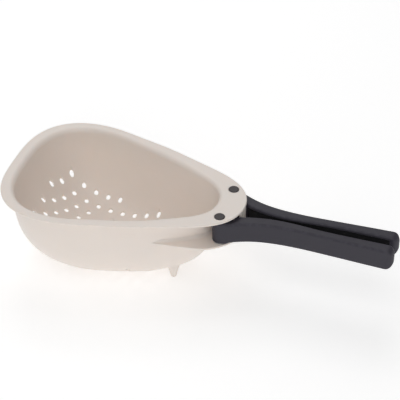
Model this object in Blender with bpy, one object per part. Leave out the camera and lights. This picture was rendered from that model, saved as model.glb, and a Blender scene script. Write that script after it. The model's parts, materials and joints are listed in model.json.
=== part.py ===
"""Collapsible colander: a pear-shaped perforated bowl with two folding handles.

The handles point backwards side by side for use, and each one swings outwards about its
own upright pin until it lies along the bowl's flank, under the rim.

Everything is modelled about the hinge line: X runs back along the handles, Y across,
and Z is zero on the rim's top face. One empty then puts the part on the ground, with
the origin in the middle of its length.
"""

import math

import bmesh
import bpy
import numpy as np

# Bowl: overall form. The wall and floor are thinner than the plates at rim and neck
BOWL_LENGTH = 0.250
BOWL_WIDTH = 0.1694
BOWL_DEPTH = 0.0904
WALL = 0.0020
PLATE = 0.0025
FLOOR_CLEARANCE = 0.0016
NECK_AHEAD_OF_PINS = 0.019

# Rim outline, neck tip first: share of the length, share of the half width
RIM_OUTLINE_SHARES = (
    (0.000, 0.000),
    (0.016, 0.212),
    (0.047, 0.341),
    (0.162, 0.549),
    (0.270, 0.664),
    (0.421, 0.813),
    (0.548, 0.906),
    (0.689, 0.993),
    (0.774, 0.993),
    (0.862, 0.926),
    (0.936, 0.765),
    (0.981, 0.528),
    (1.000, 0.000),
)
# Where the wall's sections radiate from, as a share of the length
BOWL_CENTRE_SHARE = 0.438

# From the rim's edge to the wall, with more added where the front turns into the sides,
# and the roll between the flange and the wall
FRONT_INSET = 0.0129
SIDE_INSET = 0.0133
NECK_INSET = 0.0287
CORNER_INSET = 0.0019
FRONT_ROLL = 0.0062
SIDE_ROLL = 0.0055
NECK_ROLL = 0.0042

# How full the wall's curve is: 2 is an ellipse, more is squarer
FRONT_FULLNESS = 2.91
SIDE_FULLNESS = 3.15
NECK_FULLNESS = 2.54

# Mesh fineness
OUTLINE_STEPS = 64
WALL_STEPS = 8
ROLL_STEPS = 3
EDGE_STEPS = 4
ROUND_STEPS = 24
ARC_STEPS = 2
HOLE_STEPS = 8
SHARP_ANGLE = math.radians(35)

# Drain holes, cut straight down through the floor on a triangular grid
HOLE_RADIUS = 0.0024
HOLE_PITCH = 0.0138
ROW_PITCH = 0.01154
GRID_AHEAD_OF_CENTRE = 0.0480
DRILL_TOP = 0.0160

# Drained area: share of the half width, then where a row starts and ends as length shares
DRAIN_AREA_SHARES = (
    (0.00, 0.240, 0.910),
    (0.405, 0.325, 0.910),
    (0.547, 0.410, 0.910),
    (0.678, 0.600, 0.877),
    (0.760, 0.800, 0.800),
)

# Feet, moulded with the bowl: the front pair stands on the grid in place of a hole
FRONT_FOOT_COLUMN = -1
FRONT_FOOT_ROW = 3
REAR_FOOT_BEHIND_CENTRE = 0.0403
REAR_FOOT_Y = 0.0200
FOOT_TIP_RADIUS = 0.0016
FOOT_TIP_ROUND = 0.0016
FOOT_ROOT_RADIUS = 0.0057
FOOT_ROOT_RISE = 0.0085

# Neck: a shelf under the deck, and a web that joins them between the handles
SHELF_DROP = 0.0308
SHELF_THICKNESS = 0.0025
SHELF_START_X = -0.0610
SHELF_FULL_X = -0.0095
SHELF_RUNOUT_POWER = 0.8
SHELF_SETBACK = 0.0012
SHELF_FILLET = 0.0035
SHELF_LAND = 0.0006
WEB_HALF_WIDTH = 0.0085
WEB_SETBACK = 0.0004
WEB_STEPS = 8

# Pivots
PIN_Y = 0.0231
PIN_RADIUS = 0.0030
PIN_HEAD_RADIUS = 0.0052
PIN_HEAD_THICKNESS = 0.0014
PIN_HEAD_ROUND = 0.0005
PIN_RECESS = 0.0012
PILOT_RADIUS = 0.0016
PILOT_DEPTH = 0.0110
WASHER_RADIUS = 0.0064
WASHER_THICKNESS = 0.0005
SCREW_HEAD_RADIUS = 0.0045
SCREW_HEAD_THICKNESS = 0.0018
SCREW_HEAD_ROUND = 0.0008
SCREW_RADIUS = 0.0013
SCREW_LENGTH = 0.0095
DRIVE_RADIUS = 0.0013
DRIVE_DEPTH = 0.0010
DRIVE_SIDES = 6

# Handles, measured from the pin
HANDLE_REACH = 0.1744
HANDLE_DROP = 0.0052
HANDLE_HEIGHT = 0.0228
HANDLE_WIDTH = 0.0180
HANDLE_SWEEP = 0.0144
HANDLE_EDGE = 0.0028
BOSS_RADIUS = 0.0073
BOSS_ROUND = 0.0025
END_RADIUS = 0.0062
END_LOWER_RADIUS = 0.0085
END_UPPER_RADIUS = 0.0075
END_EDGE_SHARE = 0.9
END_TURN = math.radians(80)
HANDLE_STEPS = 15
END_STEPS = 4

# Along the reach: how far the handle has swept inwards, as a share of the sweep
HANDLE_SWEEP_END_SLOPE = -0.3
HANDLE_SWEEP_SHARES = (
    (0.000, 0.000),
    (0.097, 0.400),
    (0.176, 0.730),
    (0.313, 1.000),
    (0.560, 0.965),
    (1.000, 0.840),
)
# Along the reach: the handle's width, as a share of the width named above
HANDLE_WIDTH_SHARES = (
    (0.000, 0.800),
    (0.097, 0.790),
    (0.176, 0.730),
    (0.313, 0.680),
    (0.510, 0.570),
    (0.740, 0.600),
    (0.940, 0.690),
    (1.000, 0.700),
)

# The hollow in each handle and the cover that closes it
HOLLOW_START = 0.0200
HOLLOW_END_WALL = 0.0100
HANDLE_WALL = 0.0022
HOLLOW_MARGIN = 0.0045
LEDGE = 0.0012
COVER_THICKNESS = 0.0016

# Fits
CLEARANCE = 0.0003
OVERRUN = 0.0060

# Finishes: colour, roughness
BOWL_FINISH = ((0.66, 0.60, 0.56, 1.0), 0.42)
HANDLE_FINISH = ((0.055, 0.052, 0.062, 1.0), 0.50)
PIN_FINISH = ((0.085, 0.075, 0.078, 1.0), 0.55)
WASHER_FINISH = ((0.80, 0.80, 0.78, 1.0), 0.45)
STEEL_FINISH = ((0.55, 0.55, 0.56, 1.0), 0.30)

# Levels and places that follow from the sizes above
NECK_TIP_X = NECK_AHEAD_OF_PINS
FRONT_X = NECK_AHEAD_OF_PINS - BOWL_LENGTH
CENTRE_X = NECK_TIP_X - BOWL_LENGTH * BOWL_CENTRE_SHARE
GRID_X = CENTRE_X - GRID_AHEAD_OF_CENTRE
FLOOR_Z = -BOWL_DEPTH - WALL
GROUND_Z = FLOOR_Z - FLOOR_CLEARANCE
DECK_UNDER_Z = -PLATE
SHELF_TOP_Z = -SHELF_DROP
SHELF_UNDER_Z = SHELF_TOP_Z - SHELF_THICKNESS
SHELF_MIDDLE_Z = SHELF_TOP_Z - SHELF_THICKNESS / 2
HANDLE_TOP_Z = -HANDLE_DROP
HANDLE_UNDER_Z = HANDLE_TOP_Z - HANDLE_HEIGHT
HOLLOW_END = HANDLE_REACH - HOLLOW_END_WALL
BORE_RADIUS = PIN_RADIUS + CLEARANCE
BOSS_PLAY = WASHER_THICKNESS + 2 * CLEARANCE


def clear_scene():
    for obj in list(bpy.data.objects):
        bpy.data.objects.remove(obj, do_unlink=True)


def make_material(name, finish, metallic=0.0):
    colour, roughness = finish
    material = bpy.data.materials.new(name)
    material.use_nodes = True
    shader = material.node_tree.nodes["Principled BSDF"]
    shader.inputs["Base Color"].default_value = colour
    shader.inputs["Roughness"].default_value = roughness
    shader.inputs["Metallic"].default_value = metallic
    return material


def add_object(name, mesh, parent, material=None):
    obj = bpy.data.objects.new(name, mesh)
    bpy.context.collection.objects.link(obj)
    obj.parent = parent
    if material:
        mesh.materials.append(material)
        mesh.shade_smooth()
        mesh.set_sharp_from_angle(angle=SHARP_ANGLE)
    return obj


def add_empty(name, parent, location):
    empty = add_object(name, None, parent)
    empty.location = location
    return empty


def combine(target, tool_mesh, operation):
    """Joins or cuts a finished shape; the tool itself stays hidden."""
    tool = add_object(f"{target.name}_{tool_mesh.name}", tool_mesh, target.parent)
    tool.hide_render = True
    tool.display_type = "WIRE"
    modifier = target.modifiers.new(tool_mesh.name, "BOOLEAN")
    modifier.operation = operation
    modifier.solver = "EXACT"
    modifier.object = tool


def loft(name, rings, closed=False):
    """One skin through rings of equal point count; a ring of one point is a pole.

    A closed loft runs on from the last ring to the first and has no ends to fill.
    """
    bm = bmesh.new()
    loops = [[bm.verts.new(point) for point in ring] for ring in rings]
    following = loops[1:] + loops[:1] if closed else loops[1:]
    for lower, upper in zip(loops, following):
        if len(lower) == 1:
            lower = lower * len(upper)
        if len(upper) == 1:
            upper = upper * len(lower)
        for i in range(len(lower)):
            j = (i + 1) % len(lower)
            corners = dict.fromkeys((lower[i], lower[j], upper[j], upper[i]))
            bm.faces.new(corners)
    for end in () if closed else (loops[0], loops[-1]):
        if len(end) > 1:
            bm.faces.new(end)
    bmesh.ops.recalc_face_normals(bm, faces=bm.faces)
    mesh = bpy.data.meshes.new(name)
    bm.to_mesh(mesh)
    bm.free()
    return mesh


def merge_meshes(name, meshes):
    """Several separate closed skins in one mesh, for a tool that works in many places."""
    bm = bmesh.new()
    for mesh in meshes:
        bm.from_mesh(mesh)
        bpy.data.meshes.remove(mesh)
    merged = bpy.data.meshes.new(name)
    bm.to_mesh(merged)
    bm.free()
    return merged


def turned(name, profile, steps, centre=(0.0, 0.0), closed=False):
    """A shape turned about an upright axis from pairs of radius and height."""
    turns = np.linspace(0, 2 * math.pi, steps, endpoint=False)
    rings = []
    for radius, height in profile:
        if radius == 0:
            rings.append([(*centre, height)])
        else:
            x = centre[0] + radius * np.cos(turns)
            y = centre[1] + radius * np.sin(turns)
            rings.append(np.stack([x, y, np.full_like(x, height)], axis=1))
    return loft(name, rings, closed)


def prism(name, outline, low, high):
    lower = [(x, y, low) for x, y in outline]
    upper = [(x, y, high) for x, y in outline]
    return loft(name, [lower, upper])


def arc(radius, height, size, start, end):
    """Points of a rounded edge in a turned profile, about the point it is drawn from."""
    turns = np.radians(np.linspace(start, end, ARC_STEPS + 1))
    return [(radius + size * math.cos(turn), height + size * math.sin(turn)) for turn in turns]


def spline(knots, values, end_slopes, at):
    """Smooth curve through the values with matching curvature at each knot."""
    knots, values, at = (np.asarray(part, float) for part in (knots, values, at))
    steps = np.diff(knots)
    count = len(knots)
    system = np.eye(count)
    wanted = np.zeros(count)
    wanted[0], wanted[-1] = end_slopes
    for i in range(1, count - 1):
        before, after = steps[i - 1], steps[i]
        system[i, i - 1 : i + 2] = 1 / before, 2 / before + 2 / after, 1 / after
        rise_before = (values[i] - values[i - 1]) / before**2
        rise_after = (values[i + 1] - values[i]) / after**2
        wanted[i] = 3 * (rise_before + rise_after)
    slopes = np.linalg.solve(system, wanted)
    i = np.clip(np.searchsorted(knots, at, side="right") - 1, 0, count - 2)
    width = steps[i]
    t = (at - knots[i]) / width
    leave, arrive = slopes[i] * width, slopes[i + 1] * width
    rise = values[i + 1] - values[i]
    bend = 3 * rise - 2 * leave - arrive
    twist = leave + arrive - 2 * rise
    return values[i] + t * (leave + t * (bend + t * twist))


def rim_outline(steps):
    """Closed rim outline, from the neck tip round the +Y side, as an array of X, Y."""
    shares = np.array(RIM_OUTLINE_SHARES)
    x = NECK_TIP_X - BOWL_LENGTH * shares[:, 0]
    y = BOWL_WIDTH / 2 * shares[:, 1]
    knots = np.concatenate([[0.0], np.cumsum(np.hypot(np.diff(x), np.diff(y)))])
    at = np.linspace(0.0, knots[-1], steps // 2 + 1)
    half = np.stack([spline(knots, x, (0, 0), at), spline(knots, y, (1, -1), at)], axis=1)
    half[0, 1] = half[-1, 1] = 0.0
    return np.concatenate([half, half[-2:0:-1] * (1, -1)])


def blend_round(angle, front, side, neck, power):
    """A size that changes round the bowl: one value at the side, others at the two ends."""
    along = np.cos(angle)
    end = np.where(along < 0, front, neck)
    return side + (end - side) * np.abs(along) ** power


class Bowl:
    """The bowl's rings: every section radiates from one centre to the rim outline."""

    def __init__(self, steps):
        outline = rim_outline(steps) - (CENTRE_X, 0.0)
        angle = np.arctan2(outline[:, 1], outline[:, 0])
        self.angle = angle
        self.rim = np.hypot(outline[:, 0], outline[:, 1])
        corner = np.where(np.cos(angle) < 0, np.sin(2 * angle) ** 2, 0)
        self.wall = self.rim - blend_round(angle, FRONT_INSET, SIDE_INSET, NECK_INSET, 4)
        self.wall -= CORNER_INSET * corner
        self.roll = blend_round(angle, FRONT_ROLL, SIDE_ROLL, NECK_ROLL, 4)
        self.fullness = blend_round(angle, FRONT_FULLNESS, SIDE_FULLNESS, NECK_FULLNESS, 3)

    def ring(self, radius, height):
        height = np.broadcast_to(height, radius.shape)
        x = CENTRE_X + radius * np.cos(self.angle)
        return np.stack([x, radius * np.sin(self.angle), height], axis=1)

    def wall_rings(self, thickness):
        """The floor's middle, then up the wall to where the roll begins."""
        depth = BOWL_DEPTH + thickness - self.roll
        power = 2 / self.fullness
        rings = [[(CENTRE_X, 0.0, -BOWL_DEPTH - thickness)]]
        for rise in np.linspace(0, math.pi / 2, WALL_STEPS + 1)[1:]:
            reach = (self.wall + thickness) * math.sin(rise) ** power
            rings.append(self.ring(reach, -self.roll - depth * max(math.cos(rise), 0) ** power))
        return rings

    def roll_rings(self, thickness):
        """The roll from the wall out to the flange, at a distance from the inner skin."""
        tight = self.roll - thickness
        turns = np.linspace(0, math.pi / 2, ROLL_STEPS + 1)[1:]
        return [
            self.ring(
                self.wall + self.roll - tight * math.cos(turn),
                tight * math.sin(turn) - self.roll,
            )
            for turn in turns
        ]

    def edge_rings(self):
        """The rim's half-round edge, from its underside to its top."""
        size = PLATE / 2
        turns = np.linspace(-math.pi / 2, math.pi / 2, EDGE_STEPS + 1)
        return [
            self.ring(self.rim - size + size * math.cos(turn), size * math.sin(turn) - size)
            for turn in turns
        ]


def outer_form(bowl):
    rings = bowl.wall_rings(WALL) + bowl.roll_rings(PLATE) + bowl.edge_rings()
    return loft("outer_form", rings + [[(CENTRE_X, 0.0, 0.0)]])


def inside_form(bowl):
    """What is taken out of the bowl, running on above the rim."""
    above = bowl.ring(bowl.wall + bowl.roll, OVERRUN)
    return loft("inside_form", bowl.wall_rings(0.0) + bowl.roll_rings(0.0) + [above])


def shelf_forms(bowl):
    """The plate under the deck, running out on the wall, and the fillet between them."""
    x = CENTRE_X + bowl.rim * np.cos(bowl.angle)
    order = np.argsort(bowl.angle)
    order = order[x[order] > SHELF_START_X]
    run = np.clip((x - SHELF_START_X) / (SHELF_FULL_X - SHELF_START_X), 0, 1)
    reach = bowl.wall + (bowl.rim - SHELF_SETBACK - bowl.wall) * run**SHELF_RUNOUT_POWER

    def sector(name, levels):
        rings = [
            [*bowl.ring(radius, height)[order], (CENTRE_X, 0.0, height)]
            for radius, height in levels
        ]
        return loft(name, rings)

    root = bowl.wall + WALL / 2
    size = np.clip(reach - root - SHELF_LAND, 0, SHELF_FILLET)
    turns = np.linspace(0, math.pi / 2, ROLL_STEPS + 1)
    curve = [
        (
            root + size * (1 - math.sin(turn)),
            SHELF_TOP_Z + SHELF_FILLET * (1 - math.cos(turn)),
        )
        for turn in turns
    ]
    plate = sector("shelf_form", [(reach, SHELF_UNDER_Z), (reach, SHELF_TOP_Z)])
    fillet = sector("fillet_form", [(root + size, SHELF_MIDDLE_Z)] + curve)
    return plate, fillet


def web_form(bowl):
    """The upright web that closes the neck between the handles."""
    across = np.linspace(-WEB_HALF_WIDTH, WEB_HALF_WIDTH, WEB_STEPS + 1)
    order = np.argsort(bowl.angle)
    rim_x = CENTRE_X + (bowl.rim * np.cos(bowl.angle))[order]
    rim_y = (bowl.rim * np.sin(bowl.angle))[order]
    near_neck = rim_x > 0
    back = np.interp(across, rim_y[near_neck], rim_x[near_neck]) - WEB_SETBACK
    outline = list(zip(back, across)) + list(zip(back[::-1] - PLATE, across[::-1]))
    return prism("web_form", outline, SHELF_MIDDLE_Z, DECK_UNDER_Z / 2)


def grid_place(column, row):
    return GRID_X + column * HOLE_PITCH, row * ROW_PITCH


def foot_places():
    front_x, front_y = grid_place(FRONT_FOOT_COLUMN, FRONT_FOOT_ROW)
    pairs = ((front_x, front_y), (CENTRE_X + REAR_FOOT_BEHIND_CENTRE, REAR_FOOT_Y))
    return [(x, y * side) for x, y in pairs for side in (-1, 1)]


def feet_form():
    """Tapered feet with a small flat tip, running up into the bowl's floor."""
    root = -BOWL_DEPTH + FOOT_ROOT_RISE
    tip = arc(FOOT_TIP_RADIUS, GROUND_Z + FOOT_TIP_ROUND, FOOT_TIP_ROUND, -90, 0)
    profile = [(0, GROUND_Z), *tip, (FOOT_ROOT_RADIUS, root), (0, root)]
    feet = [turned("foot", profile, ROUND_STEPS, place) for place in foot_places()]
    return merge_meshes("feet_form", feet)


def hole_places():
    """The grid's places inside the drained area, less those where the front feet stand."""
    across, starts, ends = np.array(DRAIN_AREA_SHARES).T
    rows = math.floor(across[-1] * BOWL_WIDTH / 2 / ROW_PITCH)
    columns = math.ceil(BOWL_LENGTH / HOLE_PITCH)
    places = []
    for row in range(-rows, rows + 1):
        offset = (row - FRONT_FOOT_ROW) % 2 / 2
        for column in np.arange(-columns, columns) + offset:
            x, y = grid_place(column, row)
            side, along = abs(y) / (BOWL_WIDTH / 2), (NECK_TIP_X - x) / BOWL_LENGTH
            drained = np.interp(side, across, starts) < along < np.interp(side, across, ends)
            if drained and (column, abs(row)) != (FRONT_FOOT_COLUMN, FRONT_FOOT_ROW):
                places.append((x, y))
    return places


def holes_form():
    profile = [(HOLE_RADIUS, FLOOR_Z - OVERRUN), (HOLE_RADIUS, -DRILL_TOP)]
    drills = [turned("drill", profile, HOLE_STEPS, place) for place in hole_places()]
    return merge_meshes("holes_form", drills)


def pin_seats_form():
    """Bores for both pins through the deck and the shelf, with a recess for the heads."""
    head = PIN_HEAD_RADIUS + CLEARANCE
    profile = [
        (BORE_RADIUS, SHELF_UNDER_Z - OVERRUN),
        (BORE_RADIUS, -PIN_RECESS),
        (head, -PIN_RECESS),
        (head, OVERRUN),
    ]
    seats = [turned("seat", profile, ROUND_STEPS, (0.0, y)) for y in (PIN_Y, -PIN_Y)]
    return merge_meshes("pin_seats_form", seats)


def make_bowl(parent, material):
    bowl = Bowl(OUTLINE_STEPS)
    body = add_object("bowl", outer_form(bowl), parent, material)
    for mesh in (*shelf_forms(bowl), web_form(bowl), feet_form()):
        combine(body, mesh, "UNION")
    for mesh in (inside_form(bowl), pin_seats_form(), holes_form()):
        combine(body, mesh, "DIFFERENCE")


def handle_plan(x):
    """Outer and inner face of a handle at distances from the pin, outwards positive."""
    at = x / HANDLE_REACH
    sweep = HANDLE_SWEEP * spline(*zip(*HANDLE_SWEEP_SHARES), (0, HANDLE_SWEEP_END_SLOPE), at)
    half = HANDLE_WIDTH / 2 * spline(*zip(*HANDLE_WIDTH_SHARES), (0, 0), at)
    return float(half - sweep), float(-half - sweep)


def corner_rise(x, radius):
    """How far a corner of this radius has eaten into the handle's end at x."""
    into = min(max(x - (HANDLE_REACH - radius), 0), radius)
    return radius - math.sqrt(radius**2 - into**2)


def handle_section(x, half_share):
    """Rounded cross-section of the handle at one distance from the pin."""
    outer, inner = handle_plan(x)
    middle, half = (outer + inner) / 2, (outer - inner) / 2 * half_share
    low = HANDLE_UNDER_Z + corner_rise(x, END_LOWER_RADIUS)
    high = HANDLE_TOP_Z - corner_rise(x, END_UPPER_RADIUS)
    edge = min(HANDLE_EDGE, half * END_EDGE_SHARE)
    across, up = half - edge, (high - low) / 2 - edge
    level = (high + low) / 2
    points = []
    for quarter, (side, rise) in enumerate(((1, 1), (-1, 1), (-1, -1), (1, -1))):
        start = 90 * quarter
        corner = arc(middle + across * side, level + up * rise, edge, start, start + 90)
        points += [(x, y, z) for y, z in corner]
    return points


def mirrored(rings, side):
    return [[(x, y * side, z) for x, y, z in ring] for ring in rings]


def handle_body(side):
    """The handle's outer shape: even steps along it, then its rounded end."""
    bend = HANDLE_REACH - END_RADIUS
    rings = [handle_section(x, 1.0) for x in np.linspace(0, bend, HANDLE_STEPS)]
    for turn in np.linspace(0, END_TURN, END_STEPS + 1)[1:]:
        x = bend + END_RADIUS * math.sin(turn) / math.sin(END_TURN)
        rings.append(handle_section(x, math.cos(turn)))
    return loft("handle_body", mirrored(rings, side))


def rounded_rod(name, radius, low, high, edge, steps):
    """An upright cylinder with rounded ends."""
    flat = radius - edge
    lower = arc(flat, low + edge, edge, -90, 0)
    upper = arc(flat, high - edge, edge, 0, 90)
    return turned(name, [(0, low), *lower, *upper, (0, high)], steps)


def handle_slice(name, side, start, end, lips, margin):
    """A block that follows the handle's curve, for its hollow, its recess or its cover.

    lips(inner, outer) gives the block's two faces from those of the handle.
    """
    rings = []
    for x in np.linspace(start, end, HANDLE_STEPS):
        outer, inner = handle_plan(x)
        near, far = lips(inner, outer)
        low, high = HANDLE_UNDER_Z + margin, HANDLE_TOP_Z - margin
        rings.append([(x, near, low), (x, far, low), (x, far, high), (x, near, high)])
    return loft(name, mirrored(rings, side))


def hollow_form(side):
    def lips(inner, outer):
        return inner - OVERRUN, outer - HANDLE_WALL

    return handle_slice("hollow", side, HOLLOW_START, HOLLOW_END, lips, HOLLOW_MARGIN)


def recess_form(side):
    def lips(inner, outer):
        return inner - OVERRUN, inner + COVER_THICKNESS + CLEARANCE

    start, end = HOLLOW_START - LEDGE, HOLLOW_END + LEDGE
    return handle_slice("recess", side, start, end, lips, HOLLOW_MARGIN - LEDGE)


def make_handle_shell(name, side, parent, material):
    """The handle's outer moulding: a hollow tray with the pivot boss on its end."""
    shell = add_object(name, handle_body(side), parent, material)
    low, high = SHELF_TOP_Z + BOSS_PLAY, DECK_UNDER_Z - BOSS_PLAY
    bore = [(BORE_RADIUS, low - OVERRUN), (BORE_RADIUS, high + OVERRUN)]
    combine(shell, rounded_rod("boss", BOSS_RADIUS, low, high, BOSS_ROUND, ROUND_STEPS), "UNION")
    for mesh in (turned("bore", bore, ROUND_STEPS), hollow_form(side), recess_form(side)):
        combine(shell, mesh, "DIFFERENCE")


def make_handle_cover(name, side, parent, material):
    """The plate that closes the handle's hollow, let into its inner face."""

    def lips(inner, outer):
        return inner, inner + COVER_THICKNESS

    room = LEDGE - CLEARANCE
    start, end = HOLLOW_START - room, HOLLOW_END + room
    mesh = handle_slice(name, side, start, end, lips, HOLLOW_MARGIN - room)
    add_object(name, mesh, parent, material)


def make_pin(name, parent, material):
    """Pivot pin with a low head in the deck and a pilot hole in its lower end."""
    seat = -PIN_RECESS + CLEARANCE
    top = seat + PIN_HEAD_THICKNESS
    low = SHELF_UNDER_Z + CLEARANCE
    profile = [
        (0, low + PILOT_DEPTH),
        (PILOT_RADIUS, low + PILOT_DEPTH),
        (PILOT_RADIUS, low),
        (PIN_RADIUS, low),
        (PIN_RADIUS, seat),
        (PIN_HEAD_RADIUS, seat),
        *arc(PIN_HEAD_RADIUS - PIN_HEAD_ROUND, top - PIN_HEAD_ROUND, PIN_HEAD_ROUND, 0, 90),
        (0, top),
    ]
    add_object(name, turned(name, profile, ROUND_STEPS), parent, material)


def make_washer(name, low, parent, material):
    high = low + WASHER_THICKNESS
    profile = [(BORE_RADIUS, low), (WASHER_RADIUS, low), (WASHER_RADIUS, high), (BORE_RADIUS, high)]
    add_object(name, turned(name, profile, ROUND_STEPS, closed=True), parent, material)


def make_screw(name, parent, material):
    """Pan-head screw that holds the pin from under the shelf, with a hexagon drive."""
    under = SHELF_UNDER_Z - CLEARANCE
    low = under - SCREW_HEAD_THICKNESS
    flat = SCREW_HEAD_RADIUS - SCREW_HEAD_ROUND
    profile = [
        (0, low),
        *arc(flat, low + SCREW_HEAD_ROUND, SCREW_HEAD_ROUND, -90, 0),
        (SCREW_HEAD_RADIUS, under),
        (SCREW_RADIUS, under),
        (SCREW_RADIUS, under + SCREW_LENGTH),
        (0, under + SCREW_LENGTH),
    ]
    screw = add_object(name, turned(name, profile, ROUND_STEPS), parent, material)
    drive = [(DRIVE_RADIUS, low - OVERRUN), (DRIVE_RADIUS, low + DRIVE_DEPTH)]
    combine(screw, turned("drive", drive, DRIVE_SIDES), "DIFFERENCE")


def main():
    clear_scene()
    bowl_plastic = make_material("bowl_plastic", BOWL_FINISH)
    handle_plastic = make_material("handle_plastic", HANDLE_FINISH)
    pin_plastic = make_material("pin_plastic", PIN_FINISH)
    washer_plastic = make_material("washer_plastic", WASHER_FINISH)
    steel = make_material("screw_steel", STEEL_FINISH, metallic=1.0)

    middle_x = (HANDLE_REACH + FRONT_X) / 2
    stand = add_empty("stand", None, (-middle_x, 0.0, -GROUND_Z))
    make_bowl(stand, bowl_plastic)
    for hand, side in (("left", -1), ("right", 1)):
        pivot = add_empty(f"{hand}_pivot", stand, (0.0, side * PIN_Y, 0.0))
        make_handle_shell(f"{hand}_handle_shell", side, pivot, handle_plastic)
        make_handle_cover(f"{hand}_handle_cover", side, pivot, handle_plastic)
        make_pin(f"{hand}_pivot_pin", pivot, pin_plastic)
        upper = DECK_UNDER_Z - CLEARANCE - WASHER_THICKNESS
        make_washer(f"{hand}_upper_washer", upper, pivot, washer_plastic)
        make_washer(f"{hand}_lower_washer", SHELF_TOP_Z + CLEARANCE, pivot, washer_plastic)
        make_screw(f"{hand}_retaining_screw", pivot, steel)


if __name__ == "__main__":
    main()
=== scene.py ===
"""Looks of a collapsible colander: a pear-shaped perforated bowl with two folding handles.

All shapes are worked out about the hinge line: X runs back along the handles, Y across, and
Z is zero on the rim's top face. The layout then moves them to where the frame has them.
"""

from __future__ import annotations

import json
import logging
import math
from dataclasses import dataclass, field
from enum import Enum
from functools import cached_property
from typing import Callable, Sequence, Union

import bmesh
import bpy
import numpy as np
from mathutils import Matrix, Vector
from mathutils.geometry import delaunay_2d_cdt

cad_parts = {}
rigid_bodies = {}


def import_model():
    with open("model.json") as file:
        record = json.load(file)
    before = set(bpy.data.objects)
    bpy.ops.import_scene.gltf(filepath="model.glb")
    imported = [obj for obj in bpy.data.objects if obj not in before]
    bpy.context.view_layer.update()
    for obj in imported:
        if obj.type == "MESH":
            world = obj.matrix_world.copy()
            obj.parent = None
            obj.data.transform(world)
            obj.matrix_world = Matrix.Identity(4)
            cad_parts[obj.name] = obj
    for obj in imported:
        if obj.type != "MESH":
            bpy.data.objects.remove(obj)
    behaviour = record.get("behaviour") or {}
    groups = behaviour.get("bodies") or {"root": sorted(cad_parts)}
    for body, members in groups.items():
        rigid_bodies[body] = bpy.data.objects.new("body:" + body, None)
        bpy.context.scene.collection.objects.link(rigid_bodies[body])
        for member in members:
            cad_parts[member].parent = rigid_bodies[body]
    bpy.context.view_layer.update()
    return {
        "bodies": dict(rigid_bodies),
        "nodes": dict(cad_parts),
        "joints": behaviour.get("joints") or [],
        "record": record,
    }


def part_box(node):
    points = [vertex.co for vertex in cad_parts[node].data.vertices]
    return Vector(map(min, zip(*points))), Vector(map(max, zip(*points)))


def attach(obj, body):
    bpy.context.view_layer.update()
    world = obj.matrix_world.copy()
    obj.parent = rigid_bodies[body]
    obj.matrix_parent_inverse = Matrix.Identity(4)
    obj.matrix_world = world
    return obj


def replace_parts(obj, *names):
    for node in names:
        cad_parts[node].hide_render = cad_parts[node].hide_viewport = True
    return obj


LOG = logging.getLogger("colander")
LOOK = "_look"
Array = np.ndarray
Material = bpy.types.Material
Object = bpy.types.Object
Triple = tuple[float, float, float]
Pairs = Sequence[tuple[float, float]]
Term = Union["Wire", float]


class Hand(Enum):
    """Which handle a piece belongs to; the value is the sign of its Y."""

    LEFT = -1
    RIGHT = 1

    @property
    def word(self) -> str:
        """The hand's word in the names of nodes and bodies."""
        return self.name.lower()


class Slot(Enum):
    """The record's material slots."""

    BOWL = "bowl_plastic"
    HANDLE = "handle_plastic"
    PIN = "pin_plastic"
    WASHER = "washer_plastic"
    STEEL = "screw_steel"


@dataclass(frozen=True)
class Layout:
    """Where the hinge line and the rim are in the frame, in metres."""

    hinge_x: float
    pin_y: float
    rim_z: float

    @classmethod
    def from_frame(cls, frame: dict) -> "Layout":
        """Reads the hinge from the first joint and the rim from the bowl's box."""
        x, y, _ = frame["record"]["behaviour"]["joints"][0]["pos_m"]
        return cls(x, abs(y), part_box("bowl")[1][2])

    def place(self, points: Array) -> Array:
        """Moves points from the hinge line and the rim to the frame."""
        return points + np.array([self.hinge_x, 0.0, self.rim_z])

    def place_hand(self, points: Array, hand: Hand) -> Array:
        """Moves points from a pin's own axis to the frame, mirrored for the hand."""
        return self.place((points + np.array([0.0, self.pin_y, 0.0])) * [1.0, hand.value, 1.0])


def operator(operation: str, reflected: bool = False) -> Callable[["Wire", Term], "Wire"]:
    """Makes an operator of wires: one Math node over two terms, swapped where it is reflected.

    Args:
        operation: The Math node's operation.
        reflected: Whether the wire is the second term.

    Returns:
        The method.
    """

    def method(self: "Wire", other: Term) -> "Wire":
        """Adds the node over this wire and the other term."""
        terms = (other, self) if reflected else (self, other)
        return self.graph.node("ShaderNodeMath", {"operation": operation}, dict(enumerate(terms)))

    return method


class Wire:
    """A shader output that takes part in arithmetic with numbers and other outputs."""

    def __init__(self, graph: "Graph", socket: bpy.types.NodeSocket) -> None:
        """Keeps the output and the graph that it is in."""
        self.graph = graph
        self.socket = socket

    __add__ = operator("ADD")
    __radd__ = operator("ADD", reflected=True)
    __sub__ = operator("SUBTRACT")
    __rsub__ = operator("SUBTRACT", reflected=True)
    __mul__ = operator("MULTIPLY")
    __rmul__ = operator("MULTIPLY", reflected=True)
    __truediv__ = operator("DIVIDE")
    __rtruediv__ = operator("DIVIDE", reflected=True)
    __pow__ = operator("POWER")
    __rpow__ = operator("POWER", reflected=True)

    def step(self, low: float, high: float) -> "Wire":
        """Rises smoothly from 0 at low to 1 at high, and stays there."""
        settings = {"interpolation_type": "SMOOTHSTEP"}
        return self.graph.node("ShaderNodeMapRange", settings, {0: self, 1: low, 2: high})


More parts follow.
